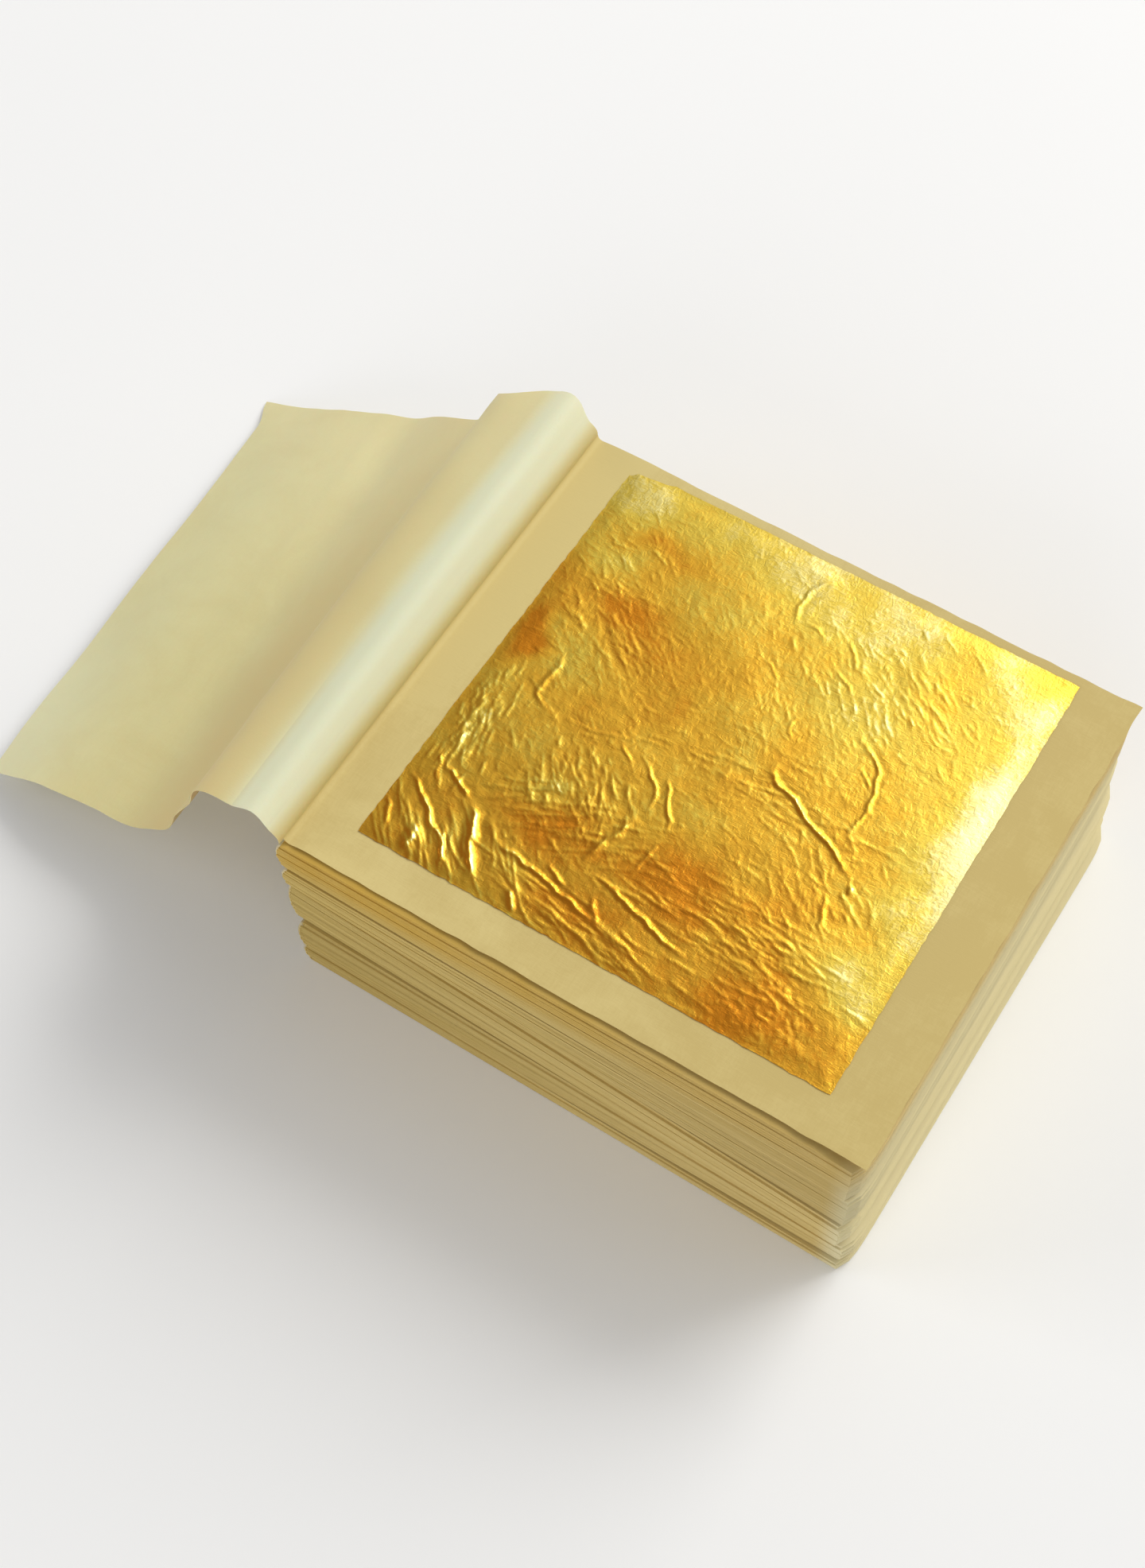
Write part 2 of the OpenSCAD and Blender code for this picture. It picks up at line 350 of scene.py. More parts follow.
def finishTurnedPage():
    look = turnedTint
    finish, tree, shader = newFinish("tissueTurned", Roughness=0.62, Specular_IOR_Level=0.35,
                                     Subsurface_Weight=0.15, Subsurface_Scale=0.002)
    fibre = placed(tree, "fibre", Scale=1.0)
    colour = tinted(tree, mottled(tree, fibre, look), tissueLook["turnedDark"], tissueLook["turnedLight"])
    fromFold = tagOf(tree, "fromFold")
    y = placeOf(tree)[1]
    toFar = ranged(tree, y, *look["toFar"])
    # painted light beside the fold, painted valley shade, painted light on the outer part and painted shade
    # at the fold
    litFlank = times(tree, ranged(tree, fromFold, *look["litFlankOn"]), ranged(tree, fromFold, *look["litFlankOff"]))
    litFlank = sums(tree, "MAXIMUM", litFlank, times(tree, toFar, look["farPaintedLight"]))
    back = times(tree, ranged(tree, fromFold, *look["valleyShadeOn"]), ranged(tree, fromFold, *look["valleyShadeOff"]))
    back = times(tree, back, sums(tree, "MULTIPLY_ADD", toFar, look["valleyShadeFar"], 1.0))
    rim = times(tree, ranged(tree, fromFold, *look["rimAcross"]), ranged(tree, y, *look["rimAlong"]))
    rim = times(tree, rim, look["rim"])
    atFold = ranged(tree, fromFold, *look["atFold"])
    for share, tint in ((litFlank, "turnedPaintedLight"), (back, "turnedPaintedShade"), (rim, "turnedPaintedLight"), (atFold, "fold")):
        colour = tinted(tree, share, colour, tissueLook[tint])
    feed(tree, shader, Base_Color=flecked(tree, colour, *look["fleck"]))
    bumped(tree, shader, fibre.outputs["Height"], *look["bump"])
    return finish


goldLook = {
    # deep and pale also serve as the colours of painted shade and painted reflection on the bare leaf
    "deep": (0.76, 0.27, 0.018), "mid": (0.87, 0.48, 0.045),
    "yellow": (0.78, 0.565, 0.08), "pale": (0.93, 0.84, 0.38),
    "grain": 0.10, "toMid": (0.0, 0.50), "toYellow": (0.42, 0.75), "toPale": (0.70, 1.05),
    "rough": (0.1, 1.1, 0.28, 0.37), "bump": (0.5, 0.00006),
    "insidePale": 0.5, "insideRough": (0.0, 1.0, 0.28, 0.42), "insideBump": (0.5, 0.0001),
}


def finishGoldBare():
    finish, tree, shader = newFinish("goldBare", Metallic=1.0)
    wrinkle = placed(tree, "wrinkle", Scale=1.0)
    share = sums(tree, "MULTIPLY_ADD", wrinkle.outputs["Fine"], goldLook["grain"], tagOf(tree, "leafToneAndPaintedLight"))
    colour = goldLook["deep"]
    # deep through pale by the leaf's stored tone, which is mostly painted reflection, painted highlight and
    # painted shade
    for reach, tint in (("toMid", "mid"), ("toYellow", "yellow"), ("toPale", "pale")):
        colour = tinted(tree, ranged(tree, share, *goldLook[reach]), colour, goldLook[tint])
    feed(tree, shader, Base_Color=colour, Roughness=ranged(tree, share, *goldLook["rough"]))
    bumped(tree, shader, wrinkle.outputs["Height"], *goldLook["bump"])
    return finish


def finishGoldInside():
    finish, tree, shader = newFinish("goldInside", Metallic=1.0)
    wrinkle = placed(tree, "wrinkle", Scale=1.0)
    fine = wrinkle.outputs["Fine"]
    colour = tinted(tree, wrinkle.outputs["Broad"], goldLook["deep"], goldLook["mid"])
    colour = tinted(tree, times(tree, fine, goldLook["insidePale"]), colour, goldLook["pale"])
    feed(tree, shader, Base_Color=colour, Roughness=ranged(tree, fine, *goldLook["insideRough"]))
    bumped(tree, shader, wrinkle.outputs["Height"], *goldLook["insideBump"])
    return finish


glueLook = {
    "dark": (0.52, 0.42, 0.22), "light": (0.70, 0.61, 0.38),
    "rough": (0.0, 1.0, 0.4, 0.62), "bump": (0.5, 0.0002),
}


def finishGlue():
    finish, tree, shader = newFinish("driedGlue", Specular_IOR_Level=0.45)
    fibre = placed(tree, "fibre", Scale=0.6)
    colour = tinted(tree, fibre.outputs["Cloud"], glueLook["dark"], glueLook["light"])
    rough = ranged(tree, fibre.outputs["Fibre"], *glueLook["rough"])
    feed(tree, shader, Base_Color=colour, Roughness=rough)
    bumped(tree, shader, fibre.outputs["Height"], *glueLook["bump"])
    return finish


finishes = {
    "stack": finishStack(),
    "openPage": finishOpenPage(),
    "turnedPage": finishTurnedPage(),
    "goldBare": finishGoldBare(),
    "goldInside": finishGoldInside(),
    "glue": finishGlue(),
}
print("finishes made:", len(finishes))


# stacks of folded sheets, one mesh for each booklet

stackLook = {
    "sheetsEach": 2,       # folded sheets drawn for each solid folio, one inside the other
    "columns": 41, "rows": 43, "folioStep": 137, "bookletStep": 70,   # degrees from one to the next
    "thick": 0.215, "arcShare": 0.2, "boxy": 0.45,   # lower boxy gives squarer folds
    "outer": 0.79, "inner": 0.264,
    "stagger": 0.05, "wave": 0.14, "jitter": 0.035, "wobble": 0.05, "fanAir": 0.07,
    "edgePull": [0.3, 0.4, 0.8, 0.6, 0.4], "cornerPull": 1.5,
    "droop": [0.9, 0.3, 0.1, 0.1, 0.0], "pullFade": -1.2,
    "cornerSharp": 26.0, "edgeSharp": 7.0, "rollSharp": 14.0, "rollHigh": 3.0,   # powers
    "ruffleAcross": 140.0, "ruffleAlong": 7.0, "waves": 42.0,   # noise cells
}


def makeStackTree():
    tree = bpy.data.node_groups.new("foldedSheets", "GeometryNodeTree")
    addSocket(tree, "Geometry", "OUTPUT", "Geometry")
    for label in ("Folios", "Sheets Each", "Columns", "Rows"):
        addSocket(tree, label, "INPUT", "Int")
    for label in ("Spine Low", "Spine High", "Fore Low", "Fore High", "Width", "Length", "Shift", "Turn",
                  "Round", "Stagger", "Phase", "Air", "Fan", "Wave", "Jitter", "Wobble", "Edge Pull",
                  "Corner Pull", "Droop"):
        addSocket(tree, label, "INPUT", "Float")
    addSocket(tree, "Finish", "INPUT", "Material")
    given = tree.nodes.new("NodeGroupInput").outputs
    out = tree.nodes.new("NodeGroupOutput")

    def calc(kind, *values):
        return sums(tree, kind, *values)

    def add(a, b):
        return calc("ADD", a, b)

    def less(a, b):
        return calc("SUBTRACT", a, b)

    def by(a, b):
        return calc("MULTIPLY", a, b)

    def over(a, b):
        return calc("DIVIDE", a, b)

    def power(a, b):
        return calc("POWER", a, b)

    def size(a):
        return calc("ABSOLUTE", a)

    def addTo(a, b, c):  # a times b, and c
        return calc("MULTIPLY_ADD", a, b, c)

    def mixed(a, b, t):
        return addTo(less(b, a), t, a)

    def joined(x, y, z):
        return fill(tree, put(tree, "ShaderNodeCombineXYZ"), x, y, z).outputs[0]

    def rough(x, y, z):  # noise about zero
        noise = put(tree, "ShaderNodeTexNoise")
        feed(tree, noise, Vector=joined(x, y, z), Scale=1.0, Detail=1.0)
        return less(noise.outputs[0], 0.5)

    flat = put(tree, "GeometryNodeMeshGrid")
    feed(tree, flat, Size_X=2.0, Size_Y=2.0, Vertices_X=given["Columns"], Vertices_Y=given["Rows"])
    count = by(given["Folios"], given["Sheets Each"])
    line = put(tree, "GeometryNodeMeshLine")
    feed(tree, line, Count=count, Offset=(0, 0, 0))
    numbered = put(tree, "GeometryNodeCaptureAttribute", domain="POINT")
    numbered.capture_items.new("FLOAT", "Sheet")
    fill(tree, numbered, line.outputs[0], put(tree, "GeometryNodeInputIndex").outputs[0])
    copies = put(tree, "GeometryNodeInstanceOnPoints")
    feed(tree, copies, Points=numbered.outputs[0], Instance=flat.outputs[0])
    real = fill(tree, put(tree, "GeometryNodeRealizeInstances"), copies.outputs[0])
    sheet = numbered.outputs[1]

    place = put(tree, "GeometryNodeInputPosition").outputs[0]
    u, v, _ = fill(tree, put(tree, "ShaderNodeSeparateXYZ"), place).outputs
    folio = calc("FLOOR", over(add(sheet, 0.01), given["Sheets Each"]))
    inner = less(sheet, by(folio, given["Sheets Each"]))
    lowShare = over(folio, given["Folios"])
    highShare = over(add(folio, 1.0), given["Folios"])
    midShare = by(add(lowShare, highShare), 0.5)
    nest = less(stackLook["outer"], by(inner, stackLook["outer"] - stackLook["inner"]))

    # round fold in the middle of the sheet, a straight ply on either side of it
    inFold = calc("MINIMUM", calc("MAXIMUM", over(u, stackLook["arcShare"]), -1.0), 1.0)
    turnAngle = by(inFold, math.pi / 2)
    arc = stackLook["arcShare"]
    far = calc("MAXIMUM", over(less(size(u), arc), 1 - arc), 0.0)
    side = calc("SINE", turnAngle)
    backness = power(calc("MAXIMUM", calc("COSINE", turnAngle), 0.0), stackLook["boxy"])
    spineLow = mixed(given["Spine Low"], given["Spine High"], lowShare)
    spineHigh = mixed(given["Spine Low"], given["Spine High"], highShare)
    foreLow = mixed(given["Fore Low"], given["Fore High"], lowShare)
    foreHigh = mixed(given["Fore Low"], given["Fore High"], highShare)
    radius = by(less(less(spineHigh, spineLow), given["Air"]), 0.5)
    half = by(given["Width"], 0.5)
    back = less(less(given["Shift"], half), by(given["Round"], calc("SINE", by(midShare, math.pi))))
    centre = add(back, radius)
    angle = add(by(folio, math.radians(stackLook["folioStep"])), given["Phase"])

    # the outermost sheets of a booklet end a little short, so the booklets part at a groove
    fromFace = by(calc("MINIMUM", midShare, less(1.0, midShare)), given["Folios"])
    fading = power(2.718, by(fromFace, stackLook["pullFade"]))
    pull = by(given["Edge Pull"], fading)
    sway = by(given["Stagger"], calc("SINE", angle))
    reach = add(add(half, given["Shift"]), sway)
    reach = less(reach, pull)
    reach = addTo(rough(sheet, 3.7, 0.4), by(given["Jitter"], 2.0), reach)
    squareness = power(size(v), stackLook["cornerSharp"])
    reach = less(reach, by(given["Corner Pull"], squareness))
    x = add(centre, by(far, less(reach, centre)))
    x = less(x, by(by(radius, nest), backness))
    along = over(add(less(x, given["Shift"]), half), given["Width"])
    y = by(v, less(by(given["Length"], 0.5), pull))
    y = addTo(given["Stagger"], calc("COSINE", angle), y)
    ruffle = rough(by(x, stackLook["ruffleAcross"]), by(sheet, 2.3), 0.7)
    y = addTo(ruffle, given["Wobble"], y)
    y = addTo(rough(9.1, by(sheet, 1.3), 0.2), given["Jitter"], y)
    ruffle = rough(by(v, stackLook["ruffleAlong"]), by(sheet, 1.9), 0.1)
    x = addTo(by(ruffle, far), given["Wobble"], x)

    fans = calc("GREATER_THAN", folio, less(given["Folios"], pile["fanned"] + 0.5))
    air = add(given["Air"], by(by(given["Fan"], along), fans))
    low = mixed(spineLow, foreLow, along)
    high = less(mixed(spineHigh, foreHigh, along), air)
    ply = by(by(less(high, low), 0.5), nest)
    z = add(by(add(high, low), 0.5), by(ply, side))
    sharp = stackLook["edgeSharp"]
    edge = calc("MAXIMUM", power(far, sharp), power(size(v), sharp))
    waves = stackLook["waves"]
    wavy = rough(by(x, waves), by(y, waves), by(sheet, 0.1))
    z = addTo(by(wavy, edge), given["Wave"], z)
    rolls = power(highShare, stackLook["rollHigh"])
    rolls = by(power(far, stackLook["rollSharp"]), rolls)
    z = less(z, by(given["Droop"], rolls))

    shaped = put(tree, "GeometryNodeSetPosition")
    feed(tree, shaped, Geometry=real.outputs[0], Position=joined(x, y, z))
    toned = put(tree, "GeometryNodeStoreNamedAttribute", data_type="FLOAT", domain="POINT")
    tone = add(rough(by(sheet, 3.1), 0.5, 2.2), 0.5)
    feed(tree, toned, Geometry=shaped.outputs[0], Name="sheetTone", Value=tone)
    turned = put(tree, "GeometryNodeTransform")
    feed(tree, turned, Geometry=toned.outputs[0], Rotation=joined(0.0, 0.0, given["Turn"]))
    solid = fill(tree, put(tree, "GeometryNodeRealizeInstances"), turned.outputs[0])
    painted = put(tree, "GeometryNodeSetMaterial")
    feed(tree, painted, Geometry=solid.outputs[0], Material=given["Finish"])
    fill(tree, out, painted.outputs[0])
    return tree


def makeStack(tree, k, name):
    piece = bpy.data.objects.new(name + "Tree", bpy.data.meshes.new(name + "Tree"))
    scene.collection.objects.link(piece)
    nodes = piece.modifiers.new("sheets", "NODES")
    nodes.node_group = tree
    values = {
        "Folios": folioCount(k), "Sheets Each": stackLook["sheetsEach"], "Finish": finishes["stack"],
        "Columns": stackLook["columns"], "Rows": stackLook["rows"],
        "Turn": math.radians(pile["turn"][k]), "Phase": math.radians(stackLook["bookletStep"] * k),
    }
    lengths = {
        "Spine Low": underOf(k, "spine"), "Spine High": stackTopOf(k, "spine"),
        "Fore Low": underOf(k, "fore"), "Fore High": stackTopOf(k, "fore"),
        "Width": pile["width"], "Length": pile["length"], "Shift": pile["shift"][k],
        "Round": pile["spineRound"], "Air": pile["folioGap"], "Fan": stackLook["fanAir"] if k == 0 else 0.0,
        "Edge Pull": stackLook["edgePull"][k], "Corner Pull": stackLook["cornerPull"],
        "Droop": stackLook["droop"][k],
    }
    for label in ("Stagger", "Wave", "Jitter", "Wobble"):
        lengths[label] = stackLook[label.lower()]
    for label, length in lengths.items():
        values[label] = length * mm
    for socket in tree.interface.items_tree:
        if socket.in_out == "INPUT":
            nodes[socket.identifier] = values[socket.name]
    paper = piece.modifiers.new("paper", "SOLIDIFY")
    paper.thickness = stackLook["thick"] * mm
    paper.offset = 0
    ready = piece.evaluated_get(bpy.context.evaluated_depsgraph_get())
    mesh = bpy.data.meshes.new_from_object(ready)
    piece.modifiers.clear()
    bpy.data.objects.remove(piece)
    mesh.name = name
    made = bpy.data.objects.new(name, mesh)
    scene.collection.objects.link(made)
    if not mesh.materials:
        mesh.materials.append(finishes["stack"])
    return made


def makeStacks():
    tree = makeStackTree()
    places = ["open", "second", "third", "fourth", "bottom"]
    for k, word in enumerate(places):
        body = word + "_booklet"
        stack = makeStack(tree, k, word + "BookletSheets")
        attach(stack, body)
        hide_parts(body + "_folios")
        if k == 0:
            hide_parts(body + "_folios", *["upper_folio_%d" % i for i in range(1, 6)])
        print("sheets of", body, len(stack.data.polygons), "faces")


makeStacks()


# sheets made of two faces and a rim

def gridQuads(rows, columns, first, flipped):
    i, j = np.meshgrid(np.arange(rows - 1), np.arange(columns - 1), indexing="ij")
    a = first + i * columns + j
    quads = np.stack([a, a + columns, a + columns + 1, a + 1], axis=-1).reshape(-1, 4)
    return quads[:, ::-1] if flipped else quads


def rimOf(rows, columns):  # corner numbers round a grid
    ring = list(range(columns))
    ring += [i * columns + columns - 1 for i in range(1, rows)]
    ring += [(rows - 1) * columns + j for j in range(columns - 2, -1, -1)]
    ring += [i * columns for i in range(rows - 2, 0, -1)]
    return ring


def pieceOf(name, points, faces, finish, tags, sharp):  # points in mm, sharp in degrees
    mesh = bpy.data.meshes.new(name)
    mesh.from_pydata((points * mm).tolist(), [], faces)
    mesh.materials.append(finish)
    for label, values in tags.items():
        mesh.attributes.new(label, "FLOAT", "POINT").data.foreach_set("value", values.astype(np.float32))
    mesh.polygons.foreach_set("use_smooth", [True] * len(mesh.polygons))
    mesh.update()
    mesh.set_sharp_from_angle(angle=math.radians(sharp))
    piece = bpy.data.objects.new(name, mesh)
    scene.collection.objects.link(piece)
    return piece


def sheetPiece(name, over, under, finish, tags):
    rows, columns = over.shape[:2]
    count = rows * columns
    faces = gridQuads(rows, columns, 0, False).tolist() + gridQuads(rows, columns, count, True).tolist()
    ring = rimOf(rows, columns)
    for a, b in zip(ring, ring[1:] + ring[:1]):
        faces.append([a, b, b + count, a + count])
    points = np.concatenate([over.reshape(-1, 3), under.reshape(-1, 3)])
    both = {label: np.concatenate([values.ravel()] * 2) for label, values in tags.items()}
    return pieceOf(name, points, faces, finish, both, 50)


# the page that the leaf lies on, down from the fold and out to the fore-edge

openPage = {
    "thick": 0.14, "level": -0.10, "foldRadius": 1.01, "foldHeight": 0.86, "foldEnd": -47, "calmTo": -30,
    "curlSteps": 14, "columns": 82, "rows": 91, "settle": 3.0, "nearShort": 1.2,
    "edgeMargin": 7.5, "edgeRise": 0.07, "edgeWave": 0.16, "endRipple": 0.12, "foreRipple": 0.15,
}


def edgeShare(x, y):  # 0 under the leaf, 1 at the page's free edges
    margin = np.minimum(np.minimum(halfL - np.abs(y), halfW - x), x + halfW)
    return smooth(1 - margin / openPage["edgeMargin"])


def makeOpenPage():
    r = openPage["foldRadius"]
    arcs = [math.pi + a for a in np.linspace(0, math.pi / 2, openPage["curlSteps"])]
    path = [(r + r * math.cos(a), openPage["foldHeight"] + r * math.sin(a)) for a in arcs]
    drop = openPage["level"] - path[-1][1]
    low = path[-1][1]
    for x in np.linspace(r, pile["width"], openPage["columns"])[1:]:
        path.append((x, low + drop * float(smooth((x - r) / openPage["settle"]))))
    y = np.linspace(-halfL + openPage["nearShort"], halfL, openPage["rows"])
    over = np.zeros((len(y), len(path), 3))
    under = np.zeros_like(over)
    path = np.array(path)
    along = np.gradient(path, axis=0)
    along /= np.linalg.norm(along, axis=1)[:, None]
    normal = np.stack([-along[:, 1], along[:, 0]], axis=1)
    for i, yy in enumerate(y):
        x = path[:, 0] - halfW
        share = edgeShare(np.maximum(x, openPage["calmTo"]), np.full_like(x, yy))
        rise = openPage["edgeRise"] + openPage["edgeWave"] * hills(x, np.full_like(x, yy), 13, 5)
        z = topZ + path[:, 1] + share * rise * (x > openPage["foldEnd"])
        atEnd = yy == y[0] or yy == y[-1]
        lip = yy + openPage["endRipple"] * hills(x, np.full_like(x, yy * 0.2), 3.0, 8) * atEnd
        ripple = openPage["foreRipple"] * hills(np.full_like(x, yy), np.zeros_like(x), 3.5, 9)
        outer = x + (x > halfW - 0.2) * ripple
        for sheet, sign in ((over, 1), (under, -1)):
            sheet[i, :, 0] = outer + sign * normal[:, 0] * openPage["thick"] / 2
            sheet[i, :, 1] = lip
            sheet[i, :, 2] = z + sign * normal[:, 1] * openPage["thick"] / 2
    page = sheetPiece("openPage", over[::-1], under[::-1], finishes["openPage"], {})
    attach(page, "open_booklet")
    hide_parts("opened_page")
    print("open page made")


makeOpenPage()


# the turned page: six pieces that bend at the solids' creases

turnedPage = {
    "nearWidth": 83.5, "farWidth": 87.5,
    "near": [0, 0.084, 0.198, 0.521, 0.605, 0.832], "far": [0, 0.086, 0.217, 0.44, 0.623, 0.811],
    "fold": [123, 69, 49, -23, -24, 12],
    "lift": 0.86, "thick": 0.1, "rows": 61, "step": 1.1,
    "before": [0, 3.3, 4.5, 9.5, 3.3, 8.0], "after": [3.2, 4.5, 9.5, 3.3, 8.0, 12.0],
    "wider": [(1.6, 10, 38), (2.2, 39, 6)],   # how much, from where along the fold, over what length
    "ripple": 0.14, "farFrom": 37, "swellFrom": (3, 7), "rounds": 60,
    "farEdge": [(2.2, 54, 11), (-0.5, 74, 6), (-3.0, 20, 5), (0.8, 11, 4)],   # outwards, place, reach
    "swell": [(0.22, 17, 21), (0.08, 7, 22)],   # height, cell, seed
    "rises": [   # height, place from the fold and along it, reach of each
        (2.0, (84, 50), (20, 36)), (1.1, (50, -48), (12, 30)), (1.0, (11, -48), (6, 34)),
        (-0.6, (46, 48), (10, 12)),
    ],
}
creaseNear = [turnedPage["nearWidth"] * share for share in turnedPage["near"]]
creaseFar = [turnedPage["farWidth"] * share for share in turnedPage["far"]]
foldPoint = np.array([-halfW, 0, topZ + turnedPage["lift"]])


def turnAbout(point, axis, angle):  # 4x4 turn about a line
    out = Matrix.Translation(Vector(point))
    back = Matrix.Translation(-Vector(point))
    return out @ Matrix.Rotation(angle, 4, Vector(axis)) @ back


creaseStart = [Vector((a, -halfL, 0)) for a in creaseNear]
creaseAxis = []
for a, b in zip(creaseNear, creaseFar):
    creaseAxis.append((Vector((b, halfL, 0)) - Vector((a, -halfL, 0))).normalized())
carried = []   # where each strip of the page is carried to, at rest
step = Matrix.Translation(Vector(foldPoint))
for start, axis, fold in zip(creaseStart, creaseAxis, turnedPage["fold"]):
    step = step @ turnAbout(start, axis, math.radians(-fold))
    carried.append(step)


def widthAt(y):
    t = (y + halfL) / pile["length"]
    wider = sum(more * smooth((y - start) / reach) for more, start, reach in turnedPage["wider"])
    return turnedPage["nearWidth"] + (turnedPage["farWidth"] - turnedPage["nearWidth"]) * t + wider


def creaseAt(c, y):
    t = (y + halfL) / pile["length"]
    return creaseNear[c] + (creaseFar[c] - creaseNear[c]) * t


def seamAt(c, y):  # where piece c ends: half way to the next crease, or at the free edge
    return (creaseAt(c, y) + creaseAt(c + 1, y)) / 2 if c + 1 < len(creaseNear) else widthAt(y)


def swellAt(s, y):  # gentle unevenness, above the flat sheet but for one dip
    soft = sum(tall * (1 + hills(s, y, cell, seed)) for tall, cell, seed in turnedPage["swell"])
    for tall, centre, reach in turnedPage["rises"]:
        soft = soft + tall * blob(s, y, centre, reach)
    start, reach = turnedPage["swellFrom"]
    return soft * smooth((s - start) / reach)


def aboutLine(points, start, axis, angle):  # turns each point by its own angle about one line
    p = points - np.array(start)
    n = np.array(axis)
    c, s = np.cos(angle)[:, None], np.sin(angle)[:, None]
    spun = np.cross(np.broadcast_to(n, p.shape), p) * s
    return np.array(start) + p * c + spun + np.outer(p @ n, n) * (1 - c)


def moved(matrix, points):
    m = np.array(matrix)
    return points @ m[:3, :3].T + m[:3, 3]


bendLines = []   # from and to points of each bend, in the pile's frame
for c in range(len(creaseNear)):
    if c == 0:
        heading = math.radians(turnedPage["fold"][0])
        begin = foldPoint
        end = foldPoint + turnedPage["after"][0] * np.array([math.cos(heading), 0, math.sin(heading)])
    else:
        middle = creaseStart[c] + creaseAxis[c] * (halfL / creaseAxis[c].y)
        across = Vector((creaseAxis[c].y, -creaseAxis[c].x, 0))
        begin = np.array(carried[c - 1] @ (middle - across * turnedPage["before"][c]))
        end = np.array(carried[c] @ (middle + across * turnedPage["after"][c]))
    bendLines.append((begin, end))


def pagePoints(c, s, y, lift):
    begin, end = bendLines[c]
    d = end - begin
    w = np.zeros_like(s)
    for _ in range(turnedPage["rounds"]):
        if c == 0:
            heading = np.radians(90 + (turnedPage["fold"][0] - 90) * w)
            spots = np.stack([s * np.cos(heading) - lift * np.sin(heading), y,
                              s * np.sin(heading) + lift * np.cos(heading)], axis=1) + foldPoint
        else:
            flat = np.stack([s, y, lift], axis=1)
            bent = aboutLine(flat, creaseStart[c], creaseAxis[c], w * math.radians(-turnedPage["fold"][c]))
            spots = moved(carried[c - 1], bent)
        w = 0.5 * w + 0.5 * smooth((spots - begin) @ d / (d @ d))
    return spots


def makeTurnedPage():
    rows = np.linspace(-halfL, halfL, turnedPage["rows"])
    for c in range(len(creaseNear)):
        first = np.zeros_like(rows) if c == 0 else seamAt(c - 1, rows)
        last = seamAt(c, rows)
        columns = int(np.max(last - first) / turnedPage["step"]) + 4
        share = np.linspace(0, 1, columns)
        s = first[:, None] + (last - first)[:, None] * share[None, :]
        y = np.repeat(rows[:, None], columns, axis=1)
        flatS, flatY = s.ravel(), y.ravel()
        rim = np.abs(flatY) > halfL - 0.01
        edgeY = flatY + turnedPage["ripple"] * hills(flatS, flatY, 3.1, 23) * rim
        atFar = smooth((flatY - turnedPage["farFrom"]) / (halfL - turnedPage["farFrom"]))
        for out, place, reach in turnedPage["farEdge"]:
            edgeY += out * np.exp(-((flatS - place) / reach) ** 2) * atFar

        def spots(ds, dy):
            return pagePoints(c, flatS + ds, edgeY + dy, swellAt(flatS + ds, flatY + dy))

        centre = spots(0.0, 0.0)
        alongS = spots(0.05, 0.0) - spots(-0.05, 0.0)
        alongY = spots(0.0, 0.05) - spots(0.0, -0.05)
        normal = np.cross(alongS, alongY)
        normal /= np.linalg.norm(normal, axis=1)[:, None]
        half = normal * turnedPage["thick"] / 2
        shape = (len(rows), columns, 3)
        tags = {"fromFold": (flatS * mm).reshape(shape[:2])[::-1]}
        piece = sheetPiece("turnedPage%d" % (c + 1), (centre + half).reshape(shape)[::-1],
                           (centre - half).reshape(shape)[::-1], finishes["turnedPage"], tags)
        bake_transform(piece)
        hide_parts("page_strip_%d" % (c + 1))
    print("turned page made in", len(creaseNear), "pieces")


makeTurnedPage()


# the bare gold leaf

leaf = {
    "side": 80, "fromSpine": 8.3, "fromNear": 8.3, "level": 0.04, "cells": 299,
    "least": 0.03, "most": 0.72, "edge": 0.04, "ground": 0.15,   # heights above its underside
    "seed": 77, "crest": 0.6, "spread": 0.8, "fine": 0.8, "ragged": 0.10,
    "wander": [(0.30, 2.2, 31), (0.16, 0.9, 32)],   # height, cell, seed
    "hills": [(0.10, 15, 45), (0.05, 6, 46)], "crumple": [(0.022, 1.6, 47), (0.014, 0.7, 48)],
    "calm": 0.22,
    "busy": [   # strength, centre, reach
        (0.8, (14, 18), (22, 18)), (0.35, (62, 32), (12, 16)), (0.55, (68, 6), (12, 9)),
        (0.3, (8, 50), (8, 22)),
    ],
}
leafX = -halfW + leaf["fromSpine"]
leafY = -halfL + leaf["fromNear"]
